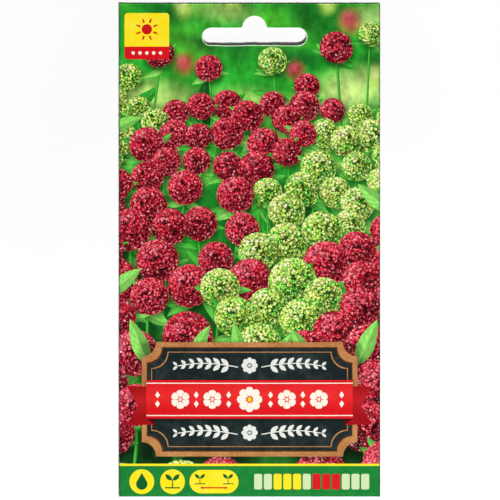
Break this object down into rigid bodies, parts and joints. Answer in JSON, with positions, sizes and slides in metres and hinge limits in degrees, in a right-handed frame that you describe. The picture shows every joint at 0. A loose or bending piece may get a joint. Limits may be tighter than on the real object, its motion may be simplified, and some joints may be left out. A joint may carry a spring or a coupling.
{
  "type": "seed packet",
  "caption": "Flat folded paper seed packet with a printed front, glued back and end flaps, an inner sachet of seed, and a punched hang slot in its header.",
  "frame": {"origin": "centre of the packet's footprint, on the surface it lies on", "axes": "+Y towards the header with the hang slot, +Z out of the printed front, +X to the right of someone reading the front"},
  "size_m": [0.08, 0.151, 0.0019],
  "materials": {
    "front_print": "satin",
    "back_print": "satin",
    "flap_print": "satin",
    "plain_paper": "matte",
    "adhesive": "satin",
    "glassine": "satin",
    "seed": "satin"
  },
  "bodies": {
    "root": {"front_panel": "front_print", "back_panel": "back_print", "side_flap": "plain_paper", "top_flap": "flap_print", "bottom_flap": "flap_print", "side_seam_glue": "adhesive", "top_flap_glue": "adhesive", "bottom_flap_glue": "adhesive", "sachet_back": "glassine", "sachet_front": "glassine", "seed_heap": "seed"}
  },
  "joints": []
}
